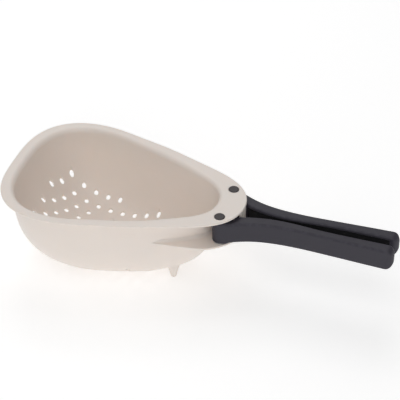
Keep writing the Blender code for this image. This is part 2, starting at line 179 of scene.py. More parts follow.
class Graph:
    """One material's nodes, with a Principled shader at the end."""

    def __init__(self, name: str, slot: str = "") -> None:
        """Makes a material that has only the shader and its Object coordinates.

        Args:
            name: The material's name.
            slot: The record's slot that it is for, if any.
        """
        self.material = bpy.data.materials.new(name)
        self.material["slot"] = slot
        self.material.use_nodes = True
        self.tree = self.material.node_tree
        self.shader = self.tree.nodes["Principled BSDF"]
        self.place = self.node("ShaderNodeTexCoord", output="Object")

    def node(
        self,
        kind: str,
        settings: dict | None = None,
        inputs: dict | None = None,
        output: int | str = 0,
    ) -> Wire:
        """Adds a node of any kind.

        Args:
            kind: The node's type name.
            settings: Attributes to set on it.
            inputs: A number, a colour or a wire for each input's index or name.
            output: Which of its outputs to hand back.

        Returns:
            The chosen output.
        """
        node = self.tree.nodes.new(kind)
        for key, value in (settings or {}).items():
            setattr(node, key, value)
        for key, value in (inputs or {}).items():
            self.feed(node.inputs[key], value)
        return Wire(self, node.outputs[output])

    def feed(self, socket: bpy.types.NodeSocket, value: object) -> None:
        """Links a wire to a socket, or sets the socket's own value.

        Args:
            socket: The input to feed.
            value: A wire, or a value as the socket takes it.
        """
        if isinstance(value, Wire):
            self.tree.links.new(value.socket, socket)
        else:
            socket.default_value = value

    def drive(self, **inputs: object) -> None:
        """Sets or links the shader's inputs, with _ for a space in their names."""
        for key, value in inputs.items():
            self.feed(self.shader.inputs[key.replace("_", " ")], value)

    def noise(self, size: float, detail: float = 2.0, stretch: Triple = (1, 1, 1)) -> Wire:
        """Noise from 0 to 1 whose features are about size metres, longer where stretch is more.

        Args:
            size: The features' size.
            detail: How many finer octaves are added.
            stretch: How much longer the features are along X, Y and Z.

        Returns:
            The noise.
        """
        scale = tuple(1 / part for part in stretch)
        place = self.node("ShaderNodeVectorMath", {"operation": "MULTIPLY"}, {0: self.place, 1: scale})
        inputs = {"Vector": place, "Scale": 1 / size, "Detail": detail}
        return self.node("ShaderNodeTexNoise", {}, inputs)

    def mix(self, share: Term, first: object, second: object) -> Wire:
        """A colour between two colours."""
        inputs = {0: share, 6: first, 7: second}
        return self.node("ShaderNodeMix", {"data_type": "RGBA"}, inputs, output=2)

    def bump(self, height: Wire, depth: float, under: Wire | None = None) -> Wire:
        """A normal for a relief of this depth in metres.

        Args:
            height: The relief, from 0 to 1.
            depth: What 1 of it stands for.
            under: A coarser relief's normal.

        Returns:
            The normal.
        """
        inputs = {"Strength": 1.0, "Distance": depth, "Height": height}
        if under:
            inputs["Normal"] = under
        return self.node("ShaderNodeBump", {}, inputs)

    def attribute(self, name: str) -> Wire:
        """A number stored on the mesh's vertices."""
        settings = {"attribute_type": "GEOMETRY", "attribute_name": name}
        return self.node("ShaderNodeAttribute", settings, output="Fac")


def rgba(colour: Triple, share: float = 1.0) -> tuple[float, ...]:
    """A colour, lighter or darker by a share, as a socket takes it."""
    return (*(part * share for part in colour), 1.0)


@dataclass(frozen=True)
class MouldedPlastic:
    """Satin or grained moulded plastic, with flow marks, fine scratches and rubbed edges.

    Sizes and depths of the marks are in metres. The weight of the light that enters the
    plastic and comes out again is called glow.
    """

    slot: Slot
    colour: Triple
    roughness: float
    part: str = ""
    mottle: float = 0.03
    cloud_size: float = 0.045
    flow_size: float = 0.016
    scratch_size: float = 0.0011
    scratches: float = 0.05
    grain_size: float = 0.00035
    grain_depth: float = 0.000012
    ripple_size: float = 0.011
    ripple_depth: float = 0.00006
    rubbed: float = 0.0
    rubbed_size: float = 0.004
    rubbed_shade: float = 1.9
    specular: float = 0.5
    glow: float = 0.0
    glow_reach: float = 0.0015

    def make(self) -> Material:
        """Makes the material.

        Returns:
            The material, which carries its slot.
        """
        graph = Graph(self.slot.value + self.part + LOOK, self.slot.value)
        cloud = graph.noise(self.cloud_size, 3.0)
        flow = graph.noise(self.flow_size, 3.0, (1.0, 2.5, 1.0))
        marks = graph.noise(self.scratch_size, 2.0, (9.0, 1.0, 1.0)).step(0.66, 0.74)
        marks_across = graph.noise(self.scratch_size / 1.1, 2.0, (1.0, 11.0, 1.5)).step(0.68, 0.75)
        grain = graph.noise(self.grain_size, 3.0)
        ripple = graph.noise(self.ripple_size, 1.0)
        darker, lighter = (rgba(self.colour, 1 + sign * self.mottle) for sign in (-1, 1))
        tone = graph.mix(cloud * 0.6 + flow * 0.4, darker, lighter)
        wear = graph.attribute("edge") * graph.noise(self.rubbed_size, 3.0).step(0.35, 0.7)
        worn = graph.mix(wear * self.rubbed, tone, rgba(self.colour, self.rubbed_shade))
        scratched = (marks + marks_across) * self.scratches
        roughness = self.roughness + (grain - 0.5) * 0.10 + (flow - 0.5) * 0.12 + scratched
        relief = graph.bump(grain, self.grain_depth, graph.bump(ripple, self.ripple_depth))
        graph.drive(Base_Color=worn, Roughness=roughness - wear * 0.12, Normal=relief)
        graph.drive(Specular_IOR_Level=self.specular, Subsurface_Weight=self.glow)
        graph.drive(Subsurface_Scale=self.glow_reach, Subsurface_Radius=(1.0, 0.9, 0.8))
        return graph.material


@dataclass(frozen=True)
class BareSteel:
    """Plated steel, a little cloudy and finely pitted; sizes and depths are in metres."""

    slot: Slot
    colour: Triple
    roughness: float
    cloud_size: float = 0.002
    pit_size: float = 0.0002
    pit_depth: float = 0.000008

    def make(self) -> Material:
        """Makes the material.

        Returns:
            The material, which carries its slot.
        """
        graph = Graph(self.slot.value + LOOK, self.slot.value)
        cloud = graph.noise(self.cloud_size, 4.0)
        fine = graph.noise(self.pit_size, 2.0)
        graph.drive(Base_Color=graph.mix(cloud, rgba(self.colour, 0.85), rgba(self.colour, 1.1)))
        graph.drive(Roughness=self.roughness + (fine - 0.5) * 0.2, Metallic=1.0)
        graph.drive(Normal=graph.bump(fine, self.pit_depth))
        return graph.material


@dataclass(frozen=True)
class Paper:
    """The pale floor's matt finish."""

    name: str
    colour: Triple
    glow: float

    def make(self) -> Material:
        """Makes the material; the glow stands for light that comes through the paper.

        Returns:
            The material.
        """
        graph = Graph(self.name)
        cloud = graph.noise(0.3, 2.0)
        graph.drive(Base_Color=graph.mix(cloud, rgba(self.colour, 0.995), rgba(self.colour)))
        graph.drive(Roughness=1.0, Specular_IOR_Level=0.0)
        graph.drive(Emission_Color=rgba(self.colour), Emission_Strength=self.glow)
        return graph.material


FINISHES = (
    MouldedPlastic(Slot.BOWL, (0.875, 0.803, 0.745), 0.42, rubbed=0.05, glow=0.4),
    MouldedPlastic(
        Slot.HANDLE, (0.034, 0.031, 0.043), 0.55, mottle=0.08,
        grain_size=0.0005, grain_depth=0.00003, rubbed=0.4, specular=0.4,
    ),
    MouldedPlastic(Slot.PIN, (0.044, 0.036, 0.038), 0.52, mottle=0.06, rubbed=0.4),
    MouldedPlastic(Slot.WASHER, (0.74, 0.73, 0.70), 0.45, mottle=0.02),
    BareSteel(Slot.STEEL, (0.55, 0.55, 0.56), 0.32),
)
# The covers' near-black colour, dull roughness and weak specular are painted shade for the deep, unlit
# gap between the closed handles.
COVER_PAINTED_SHADE_FINISH = MouldedPlastic(Slot.HANDLE, (0.006, 0.006, 0.007), 0.70, part="_cover", specular=0.2)


def grid_faces(rows: int, columns: int, wrap: bool) -> Array:
    """Quads of a grid of points stored row by row; wrap joins the last column to the first.

    Args:
        rows: How many rows the grid has.
        columns: How many points each row has.
        wrap: Whether the rows are closed loops.

    Returns:
        Four point numbers per row.
    """
    ids = np.arange(rows * columns).reshape(rows, columns)
    if wrap:
        ids = np.concatenate([ids, ids[:, :1]], axis=1)
    corners = [ids[:-1, :-1], ids[:-1, 1:], ids[1:, 1:], ids[1:, :-1]]
    return np.stack(corners, axis=-1).reshape(-1, 4)


def add_object(name: str, data: bpy.types.ID) -> Object:
    """Makes an object and puts it in the scene.

    Args:
        name: Its name.
        data: Its mesh, light or camera.

    Returns:
        The object.
    """
    obj = bpy.data.objects.new(name, data)
    bpy.context.scene.collection.objects.link(obj)
    return obj


class Skin:
    """Gathers the patches of one closed surface, joins their edges and makes the object."""

    WELD = 0.000004

    def __init__(self) -> None:
        """Starts with no patch."""
        self.points: list[Array] = []
        self.edges: list[Array] = []
        self.faces: list[list[int]] = []
        self.count = 0

    def add(self, points: Array, faces: Array, edge: Array | float = 0.0) -> None:
        """Adds a patch.

        Args:
            points: Its vertices, one per row.
            faces: Vertex numbers of its faces, one face per row.
            edge: How much of an edge each vertex is on, from 0 to 1.
        """
        self.points.append(points)
        self.edges.append(np.broadcast_to(edge, len(points)))
        self.faces += (faces + self.count).tolist()
        self.count += len(points)

    def grid(self, points: Array, wrap: bool = False, edge: Array | float = 0.0) -> None:
        """Adds a patch whose points are an array of rows, columns and X, Y, Z."""
        edge = np.broadcast_to(edge, points.shape[:2]).reshape(-1)
        self.add(points.reshape(-1, 3), grid_faces(*points.shape[:2], wrap), edge)

    def build(self, name: str, finish: Material, body: str) -> Object:
        """Makes the object.

        Args:
            name: The object's name.
            finish: Its material, which carries the record's slot.
            body: The body that it rides on.

        Returns:
            The finished object, smooth, with its normals weighted by face size.
        """
        mesh = bpy.data.meshes.new(name)
        mesh.from_pydata(np.concatenate(self.points).tolist(), [], self.faces)
        mesh.attributes.new("edge", "FLOAT", "POINT")
        values = np.concatenate(self.edges).astype(np.float32)
        mesh.attributes["edge"].data.foreach_set("value", values)
        bm = bmesh.new()
        bm.from_mesh(mesh)
        bmesh.ops.remove_doubles(bm, verts=bm.verts, dist=self.WELD)
        bmesh.ops.recalc_face_normals(bm, faces=bm.faces)
        if bm.calc_volume(signed=True) < 0:
            bmesh.ops.reverse_faces(bm, faces=bm.faces)
        bm.to_mesh(mesh)
        bm.free()
        mesh.shade_smooth()
        mesh.materials.append(finish)
        obj = add_object(name, mesh)
        modifier = obj.modifiers.new("weighted normals", "WEIGHTED_NORMAL")
        modifier.keep_sharp = True
        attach(obj, body)
        LOG.info("%s: %d faces on %s", name, len(mesh.polygons), body)
        return obj

    @classmethod
    def sweep(cls, points: Array, name: str, finish: Material, body: str) -> Object:
        """Makes an object of one grid.

        Args:
            points: X, Y, Z in rows of one closed loop each.
            name: The object's name.
            finish: Its material, which carries the record's slot.
            body: The body that it rides on.

        Returns:
            The finished object.
        """
        skin = cls()
        skin.grid(points, wrap=True)
        return skin.build(name, finish, body)


def clamped_spline(knots: Array, values: Array, slopes: tuple[float, float], at: Array) -> Array:
    """A cubic curve through the values, with even curvature at each knot.

    Each span is the cubic that has its two ends' values and slopes. The slopes solve a system
    of linear equations, one for each inner knot, that its curvature is the same on both sides.

    Args:
        knots: Increasing places.
        values: The value at each place.
        slopes: The curve's slope at the two ends.
        at: Where the curve is wanted.

    Returns:
        The curve's values there.
    """
    steps, rises = np.diff(knots), np.diff(values)
    system = np.eye(len(knots))
    inner = np.arange(1, len(knots) - 1)
    system[inner, inner - 1] = 1 / steps[:-1]
    system[inner, inner] = 2 / steps[:-1] + 2 / steps[1:]
    system[inner, inner + 1] = 1 / steps[1:]
    wanted = np.zeros(len(knots))
    wanted[[0, -1]] = slopes
    wanted[1:-1] = 3 * (rises[:-1] / steps[:-1] ** 2 + rises[1:] / steps[1:] ** 2)
    bends = np.linalg.solve(system, wanted)
    i = np.clip(np.searchsorted(knots, at, side="right") - 1, 0, len(steps) - 1)
    t = (at - knots[i]) / steps[i]
    leave, arrive = bends[i] * steps[i], bends[i + 1] * steps[i]
    square = 3 * rises[i] - 2 * leave - arrive
    cube = leave + arrive - 2 * rises[i]
    return values[i] + t * (leave + t * (square + t * cube))


def xyz(x: Array, y: Array, z: Array) -> Array:
    """X, Y, Z in one array, each repeated over the shape that the others have."""
    return np.stack(np.broadcast_arrays(x, y, z), axis=-1)


def smooth_step(at: Array, low: float, high: float) -> Array:
    """Rises from 0 at low to 1 at high: three squares less two cubes of the share of the way."""
    t = np.clip((at - low) / (high - low), 0, 1)
    return t * t * (3 - 2 * t)


def quarter(steps: int) -> tuple[Array, Array]:
    """Sines and cosines of even turns from 0 to a right angle."""
    turns = np.linspace(0, math.pi / 2, steps + 1)
    return np.sin(turns), np.cos(turns)


def half_circle(steps: int = 8) -> tuple[Array, Array]:
    """Cosines and sines of even turns from a right angle below level to one above."""
    turns = np.linspace(-math.pi / 2, math.pi / 2, steps + 1)
    return np.cos(turns), np.sin(turns)


def drawn_back(into: Array, radius: float) -> Array:
    """How far a quarter round draws back: radius less the root of its square less the way's square."""
    return radius - np.sqrt(radius**2 - np.clip(into, 0, radius) ** 2)


def lathe(profile: Pairs, sides: int, shape: Array | float = 1.0) -> Array:
    """Rings about an upright axis: X and Y are the radius times the turn's cosine and sine.

    Args:
        profile: The radius and the height of each ring.
        sides: How many points a ring has.
        shape: What each point's radius is multiplied by.

    Returns:
        X, Y, Z in rows of one ring each.
    """
    radius, height = np.array(profile).T[:, :, None]
    turns = np.linspace(0, 2 * math.pi, sides, endpoint=False)
    x = radius * shape * np.cos(turns)
    y = radius * shape * np.sin(turns)
    return xyz(x, y, height)


def capped(rows: Array) -> Array:
    """Rows of a swept loop, with one more at each end where all its points meet in their mean."""
    ends = rows[[0, -1]].mean(axis=1, keepdims=True) + np.zeros_like(rows[:1])
    return np.concatenate([ends[:1], rows, ends[1:]])


def spokes(angle: Array, length: Array | float) -> Array:
    """Plane points at angles and distances from the origin, one X, Y per row."""
    return np.stack([length * np.cos(angle), length * np.sin(angle)], axis=1)


def circle(radius: float, count: int) -> Array:
    """Points of a circle about the origin, one X, Y per row."""
    return spokes(np.linspace(0, 2 * math.pi, count, endpoint=False), radius)


def copies(shape: Array, places: Array) -> Array:
    """A plane shape's points repeated about every place, one X, Y per row."""
    return (places[:, None, :] + shape).reshape(-1, 2)


def distance(points: Array, places: Array) -> Array:
    """Plan distance from each point to the nearest of the places."""
    return np.hypot(*(points[:, None, :2] - places).transpose(2, 0, 1)).min(axis=1)


def within(points: Array, loop: Array) -> Array:
    """Which plane points lie inside a closed loop, by counting its crossings to one side.

    Args:
        points: One X, Y per row.
        loop: The loop's corners in order.

    Returns:
        True for each point inside.
    """
    x, y = points[:, :1], points[:, 1:]
    ax, ay = loop[:, 0], loop[:, 1]
    bx, by = np.roll(ax, -1), np.roll(ay, -1)
    spans = (ay > y) != (by > y)
    with np.errstate(divide="ignore", invalid="ignore"):
        crossing = ax + (y - ay) * (bx - ax) / (by - ay)
    return (spans & (x < crossing)).sum(axis=1) % 2 == 1


def triangulate(points: Array, outside: Array, holes: Sequence[Array]) -> Array:
    """Fills a flat region with triangles between given points.

    Args:
        points: Plane points, one per row.
        outside: Numbers of the points along the region's closed outer edge.
        holes: Numbers of the points along each closed hole.

    Returns:
        Three point numbers per row.
    """
    loops = [outside, *holes]
    edges = np.concatenate([np.stack([loop, np.roll(loop, -1)], axis=1) for loop in loops])
    flat = [Vector(point) for point in (points * 1000).tolist()]
    _, _, faces, sources, _, _ = delaunay_2d_cdt(flat, edges.tolist(), [], 1, 1e-6)
    names = np.array([source[0] for source in sources])
    triangles = names[np.array(faces)]
    keep = np.ones(len(triangles), bool)
    owner = np.full(len(points), -1)
    for number, loop in enumerate(holes):
        owner[loop] = number
    owners = owner[triangles]
    same = (owners[:, 0] >= 0) & (owners[:, 0] == owners[:, 1]) & (owners[:, 1] == owners[:, 2])
    centres = points[triangles].mean(axis=1)
    for number in np.unique(owners[same, 0]):
        mine = np.flatnonzero(same & (owners[:, 0] == number))
        keep[mine[within(centres[mine], points[holes[number]])]] = False
    return triangles[keep]


def lattice(low: Array, high: Array, pitch: float) -> Array:
    """Points of a triangular grid over a rectangle, one X, Y per row.

    Its rows are half the root of three of a pitch apart, and every other row is shifted by
    half a pitch.

    Args:
        low: The rectangle's lower corner.
        high: Its upper corner.
        pitch: Distance between neighbours.

    Returns:
        The points.
    """
    rise = pitch * math.sqrt(3) / 2
    rows = np.arange(low[1], high[1], rise)
    columns = np.arange(low[0], high[0], pitch)
    x, y = np.meshgrid(columns, rows)
    x = x + (np.arange(len(rows)) % 2 * pitch / 2)[:, None]
    return np.stack([x.reshape(-1), y.reshape(-1)], axis=1)


# The rim's outline: shares of the bowl's length from the neck, and of half its width there.
RIM_OUTLINE = (
    (0.000, 0.016, 0.047, 0.162, 0.270, 0.421, 0.548, 0.689, 0.774, 0.862, 0.936, 0.981, 1.000),
    (0.000, 0.212, 0.341, 0.549, 0.664, 0.813, 0.906, 0.993, 0.993, 0.926, 0.765, 0.528, 0.000),
)


@dataclass(frozen=True)
class BowlForm:
    """The bowl's sections: each radiates from one centre to the rim's outline.

    From the floor's middle a section follows a superellipse, where radius share to the power
    of the fullness plus height share to that power is one. It then rolls out into the flange.
    """

    length: float = 0.250
    width: float = 0.1693
    depth: float = 0.0904
    thickness: float = 0.0020
    plate: float = 0.0025
    neck_tip: float = 0.019
    centre_share: float = 0.438
    insets: Triple = (0.0129, 0.0133, 0.0287)
    corner_inset: float = 0.0019
    rolls: Triple = (0.0062, 0.0055, 0.0042)
    fullnesses: Triple = (2.91, 3.15, 2.54)
    fullness_power: float = 3
    flattening: float = 0.56
    steps: int = 512

    @property
    def centre(self) -> float:
        """X of the line that all sections start from."""
        return self.neck_tip - self.length * self.centre_share

    def outline(self, steps: int) -> Array:
        """The rim's closed outline: splines of X and Y through the shares, over chord length.

        Args:
            steps: How many points it has.

        Returns:
            One X, Y per row.
        """
        along, sideways = np.array(RIM_OUTLINE)
        x = self.neck_tip - self.length * along
        y = self.width / 2 * sideways
        knots = np.concatenate([[0.0], np.cumsum(np.hypot(np.diff(x), np.diff(y)))])
        at = np.linspace(0.0, knots[-1], steps // 2 + 1)
        across = clamped_spline(knots, y, (1, -1), at)
        across[[0, -1]] = 0.0
        half = np.stack([clamped_spline(knots, x, (0, 0), at), across], axis=1)
        return np.concatenate([half, half[-2:0:-1] * (1, -1)])

    @cached_property
    def _table(self) -> tuple[Array, Array]:
        """The outline's angles and radii about the centre, in order of angle.

        Returns:
            Both in one tuple.
        """
        outline = self.outline(self.steps * 16) - (self.centre, 0.0)
        angle = np.arctan2(outline[:, 1], outline[:, 0])
        order = np.argsort(angle)
        return angle[order], np.hypot(outline[:, 0], outline[:, 1])[order]

    @cached_property
    def angles(self) -> Array:
        """The angles of the finished mesh's rings."""
        outline = self.outline(self.steps) - (self.centre, 0.0)
        return np.arctan2(outline[:, 1], outline[:, 0])

    def rim(self, angle: Array) -> Array:
        """Radius of the rim's edge."""
        return np.interp(angle, *self._table, period=2 * math.pi)

    @staticmethod
    def blend(angle: Array, sizes: Triple, power: float = 4) -> Array:
        """The side's size, moved to the front's or the neck's by a power of the angle's cosine."""
        along, (front, side, neck) = np.cos(angle), sizes
        return side + (np.where(along < 0, front, neck) - side) * np.abs(along) ** power

    def wall(self, angle: Array) -> Array:
        """Radius of the inner skin at the roll: the rim's less the inset, and less at the corners."""
        # The front corners' share is the squared sine of twice the angle.
        corner = np.where(np.cos(angle) < 0, np.sin(2 * angle) ** 2, 0)
        return self.rim(angle) - self.blend(angle, self.insets) - self.corner_inset * corner

    def roll(self, angle: Array) -> Array:
        """Radius of the roll between wall and flange."""
        return self.blend(angle, self.rolls)

    def fullness(self, angle: Array) -> Array:
        """How full the section's curve is."""
        return self.blend(angle, self.fullnesses, self.fullness_power)

    def polar(self, x: Array, y: Array) -> tuple[Array, Array]:
        """Angle and radius of plan points about the centre."""
        return np.arctan2(y, x - self.centre), np.hypot(x - self.centre, y)

    def solid(self, angle: Array, radius: Array, height: Array) -> Array:
        """X, Y, Z of points given by angle, radius and height."""
        x = self.centre + radius * np.cos(angle)
        return xyz(x, radius * np.sin(angle), height)

    def partner(self, share: Array, angle: Array) -> Array:
        """One less the share's power, to the inverse power: height from radius share, or back."""
        power = self.fullness(angle)
        return (1 - np.clip(share, 0, 1) ** power) ** (1 / power)

    def height(self, x: Array, y: Array, out: float) -> Array:
        """Height of a skin over plan points.

        The radius over the wall's is the radius share. The height lies below the roll by the
        depth that is left there times the share's partner on the superellipse.

        Args:
            x: The points' X.
            y: Their Y.
            out: The skin's distance from the inner skin.

        Returns:
            One height per point.
        """
        angle, radius = self.polar(x, y)
        down = self.partner(radius / (self.wall(angle) + out), angle)
        return -self.roll(angle) - (self.depth + out - self.roll(angle)) * down

    def radius_at(self, angle: Array, height: Array, out: float) -> Array:
        """Radius of a skin at a height: the wall's times the partner of the height share."""
        level = (-height - self.roll(angle)) / (self.depth + out - self.roll(angle))
        return (self.wall(angle) + out) * self.partner(level, angle)

    def spread(self, angle: Array) -> Array:
        """Metres of the flattened skin per radian of turn: a share of wall radius plus depth."""
        return self.flattening * (self.wall(angle) + self.depth)

    def flat_reach(self, angle: Array) -> Array:
        """Distance from the flattened skin's middle to the top of the wall."""
        return self.spread(angle) * math.pi / 2

    def unfold(self, x: Array, y: Array, out: float) -> Array:
        """Flattened places of plan points: the angle stays, and the radius is the turn.

        The turn is the angle, seen from the rim's level, from straight down to the point
        of the section after its radius and depth are scaled to one.

        Args:
            x: The points' X.
            y: Their Y.
            out: The skin's distance from the inner skin.

        Returns:
            One flat X, Y per row.
        """
        angle, radius = self.polar(x, y)
        share = np.clip(radius / (self.wall(angle) + out), 0, 1)
        return spokes(angle, np.arctan2(share, self.partner(share, angle)) * self.spread(angle))

    def fold(self, flat: Array, out: float) -> Array:
        """X, Y, Z of a skin's points from their flattened places.

        The flat radius over the spread is the turn. Its sine and cosine are scaled by one
        factor until they lie on the superellipse, and are then the radius and depth shares.

        Args:
            flat: One flat X, Y per row.
            out: The skin's distance from the inner skin.

        Returns:
            One X, Y, Z per row.
        """
        angle = np.arctan2(flat[:, 1], flat[:, 0])
        turn = np.hypot(flat[:, 0], flat[:, 1]) / self.spread(angle)
        power, roll = self.fullness(angle), self.roll(angle)
        across, down = np.sin(turn), np.maximum(np.cos(turn), 0)
        scale = (across**power + down**power) ** (-1 / power)
        drop = (self.depth + out - roll) * down * scale
        return self.solid(angle, (self.wall(angle) + out) * across * scale, -roll - drop)


@dataclass(frozen=True)
class DrainPattern:
    """The holes, on a triangular grid inside the drained area."""

    radius: float = 0.0024
    lip: float = 0.0004
    pitch: float = 0.0138
    row_pitch: float = 0.01154
    ahead: float = 0.0480
    rows: tuple = ((-4.5, 6.5), (-5, 6), (-4.5, 5.5), (-5, 5), (-4.5, 3.5), (-4, 0))
    foot_column: float = -1
    foot_row: int = 3
    sides: int = 24

    def place(self, centre: float, column: float, row: int) -> tuple[float, float]:
        """Plan place of a grid point."""
        return centre - self.ahead + column * self.pitch, row * self.row_pitch

    def places(self, centre: float) -> Array:
        """Plan places of all holes, one X, Y per row.

        Args:
            centre: X of the bowl's centre.

        Returns:
            The places, in pairs left and right of the middle row.
        """
        spots = []
        for row, (first, last) in enumerate(self.rows):
            for column in np.arange(first, last + 0.5):
                if (column, row) != (self.foot_column, self.foot_row):
                    x, y = self.place(centre, column, row)
                    spots += [(x, y), (x, -y)] if row else [(x, y)]
        return np.array(spots)


@dataclass(frozen=True)
class Feet:
    """Tapered feet that run up into the floor with a smooth fillet."""

    drain: DrainPattern
    form: BowlForm
    behind: float = 0.0403
    across: float = 0.0200
    tip: float = 0.0016
    tip_round: float = 0.0016
    root: float = 0.0057
    root_rise: float = 0.0085
    ground: float = -0.0940
    fillet: float = 0.0026
    spread: float = 0.0095
    clearing: float = 0.0084
    tip_rings: tuple = (0.0, 0.0008, 0.0016, 0.0021, 0.0026, 0.0029, 0.0031, 0.0032)
    cone_rings: Triple = (0.00335, 0.0078, 0.00025)
    sides: int = 32

    def places(self) -> Array:
        """Plan places of the four feet.

        Returns:
            One X, Y per row.
        """
        x, y = self.drain.place(self.form.centre, self.drain.foot_column, self.drain.foot_row)
        pairs = [(x, y), (self.form.centre + self.behind, self.across)]
        return np.array([(px, py * side) for px, py in pairs for side in (-1, 1)])

    def height(self, away: Array) -> Array:
        """Height of a foot's skin: a flat tip, a quarter round, then a straight cone to the root.

        Args:
            away: Plan distance from the foot's middle.

        Returns:
            One height per distance.
        """
        wide = self.tip + self.tip_round
        rounded = self.ground + drawn_back(away - self.tip, self.tip_round)
        rise = self.root_rise - self.form.depth - self.ground - self.tip_round
        return rounded + np.maximum(away - wide, 0) * rise / (self.root - wide)

    def blend(self, points: Array) -> Array:
        """Lowers a skin's points to the feet, with a fillet where the two come close.

        The result is the lower of skin and foot. Where they are less than the fillet apart, a
        quarter of it times the square of how close they are is taken off.

        Args:
            points: One X, Y, Z per row.

        Returns:
            The points with their new heights.
        """
        away = distance(points, self.places())
        foot = np.where(away < self.spread, self.height(away), 1.0)
        close = np.clip(self.fillet - np.abs(points[:, 2] - foot), 0, None) / self.fillet
        lower = np.minimum(points[:, 2], foot) - close**2 * self.fillet / 4
        return np.concatenate([points[:, :2], lower[:, None]], axis=1)

    def rings(self) -> Array:
        """Plan points of close rings round each foot, where its skin is steep.

        Returns:
            One X, Y per row.
        """
        radii = [*self.tip_rings, *np.arange(*self.cone_rings)]
        rings = [circle(radius, self.sides if radius else 1) for radius in radii]
        return copies(np.concatenate(rings), self.places())


@dataclass(frozen=True)
class PinSeat:
    """The bore and the recess for a pin's head in the deck."""

    head: float = 0.0055
    recess: float = 0.0012
    bore: float = 0.0033
    bevel: float = 0.00025
    sides: int = 48


